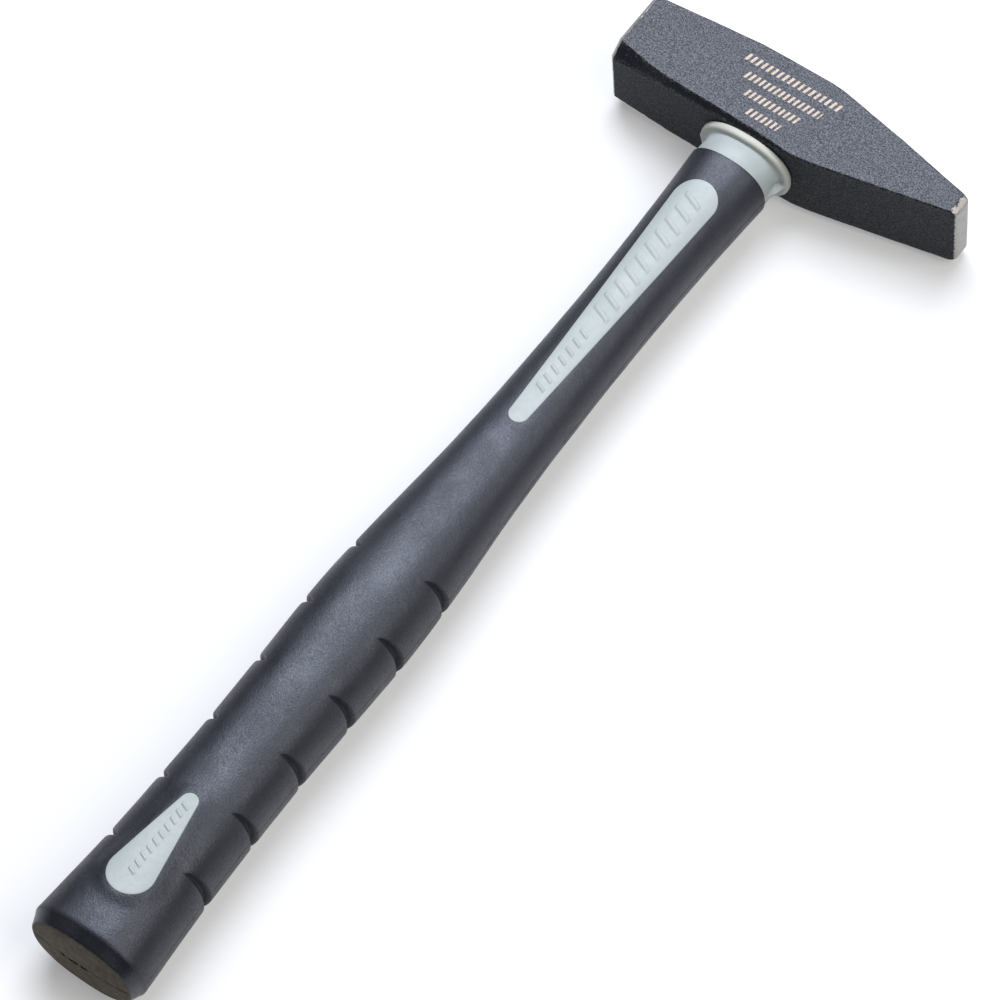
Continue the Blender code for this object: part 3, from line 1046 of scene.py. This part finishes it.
def make_rib(middle, half_length, half_breadth, side, material):
    """One low rib across a pad, rounded over its back and towards its ends."""
    rings = []
    for part in (-1.0, -0.96, -0.88, -0.75, -0.4, 0.0, 0.4, 0.75, 0.88, 0.96, 1.0):
        x = half_length * part
        height = RIB_HEIGHT * (1 - part**8)
        ring = []
        for along, up in RIB_PROFILE:
            at = middle + half_breadth * along + RIB_SLANT * x
            ring.append(place(x, at, side * (pad_height(x, at) + 0.03 + height * up)))
        for along in (1.0, -1.0):
            at = middle + half_breadth * along + RIB_SLANT * x
            ring.append(place(x, at, side * (pad_height(x, at) - RIB_REACH_DOWN)))
        rings.append(ring)
    return closed_loft("rib", rings, [material], 60)


def make_ribs(name, rows, side, material):
    """Plain raised ribs on a pad, where the real one carries raised lettering."""
    ribs = []
    for first, pitch, count, half_length, half_breadth in rows:
        for number in range(count):
            ribs.append(make_rib(first + pitch * number, half_length, half_breadth, side, material))
    return merged(name, ribs)


def make_jacket():
    material = plastic_material()
    pieces = [make_collar(material)]
    for side, side_name in ((1, "upper"), (-1, "lower")):
        pieces.append(make_pad(f"long_pad_{side_name}", LONG_WINDOW, side, material))
        pieces.append(make_pad(f"drop_pad_{side_name}", DROP_WINDOW, side, material))
        pieces.append(make_ribs(f"long_ribs_{side_name}", LONG_RIBS, side, material))
        pieces.append(make_ribs(f"drop_ribs_{side_name}", DROP_RIBS, side, material))
    for piece in pieces:
        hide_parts("handle_jacket")
        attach(piece, "root")


def finish_core():
    """The core and the resin keep their CAD shapes and get their own finishes."""
    for node, material in (("fibreglass_core", fibreglass_material()), ("eye_bond", resin_material())):
        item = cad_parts[node]
        item.data.materials.clear()
        item.data.materials.append(material)


# ---------------------------------------------------------------- stage


def make_floor():
    low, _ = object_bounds()
    bpy.ops.mesh.primitive_plane_add(size=8.0, location=(0, 0, low.z))
    floor = bpy.context.active_object
    floor.name = "floor"
    floor.data.materials.append(floor_material())


def aimed(position, target):
    """Turned so that its own -Z looks from the position to the target."""
    return (Vector(target) - Vector(position)).to_track_quat("-Z", "Y")


def add_softbox(name, position, size, power, colour):
    light = bpy.data.lights.new(name, "AREA")
    light.shape = "RECTANGLE"
    light.size, light.size_y = size
    light.energy = power
    light.color = colour
    item = bpy.data.objects.new(name, light)
    item.location = position
    item.rotation_mode = "QUATERNION"
    item.rotation_quaternion = aimed(position, (0, 0, 0.02))
    bpy.context.scene.collection.objects.link(item)


def make_lights():
    world = bpy.data.worlds.new("studio")
    world.use_nodes = True
    background = world.node_tree.nodes["Background"]
    background.inputs["Color"].default_value = (1.0, 0.98, 0.96, 1.0)
    background.inputs["Strength"].default_value = 0.03
    bpy.context.scene.world = world
    add_softbox("overhead", (-0.5, 0.85, 1.75), (1.45, 1.4), 62.0, (0.87, 0.91, 1.0))
    add_softbox("right_fill", (1.2, 0.25, 1.6), (1.3, 1.3), 24.0, (1.0, 0.98, 0.95))
    bpy.context.scene.view_settings.view_transform = "Standard"


def make_camera():
    back = Vector(
        (
            math.sin(AZIMUTH) * math.cos(ELEVATION),
            -math.cos(AZIMUTH) * math.cos(ELEVATION),
            math.sin(ELEVATION),
        )
    )
    right = Vector((math.cos(AZIMUTH), math.sin(AZIMUTH), 0))
    up = back.cross(right)
    rolled_right = right * math.cos(ROLL) + up * math.sin(ROLL)
    rolled_up = up * math.cos(ROLL) - right * math.sin(ROLL)
    camera = bpy.data.cameras.new("camera")
    camera.lens = LENS
    camera.sensor_width = 36.0
    item = bpy.data.objects.new("camera", camera)
    turn = Matrix((rolled_right, rolled_up, back)).transposed().to_4x4()
    target = EYE + Vector(LOOK_AT) * MM
    item.matrix_world = Matrix.Translation(target + back * DISTANCE * MM) @ turn
    bpy.context.scene.collection.objects.link(item)
    bpy.context.scene.camera = item


make_camera()
make_head()
make_jacket()
make_grip()
finish_core()
make_floor()
make_lights()
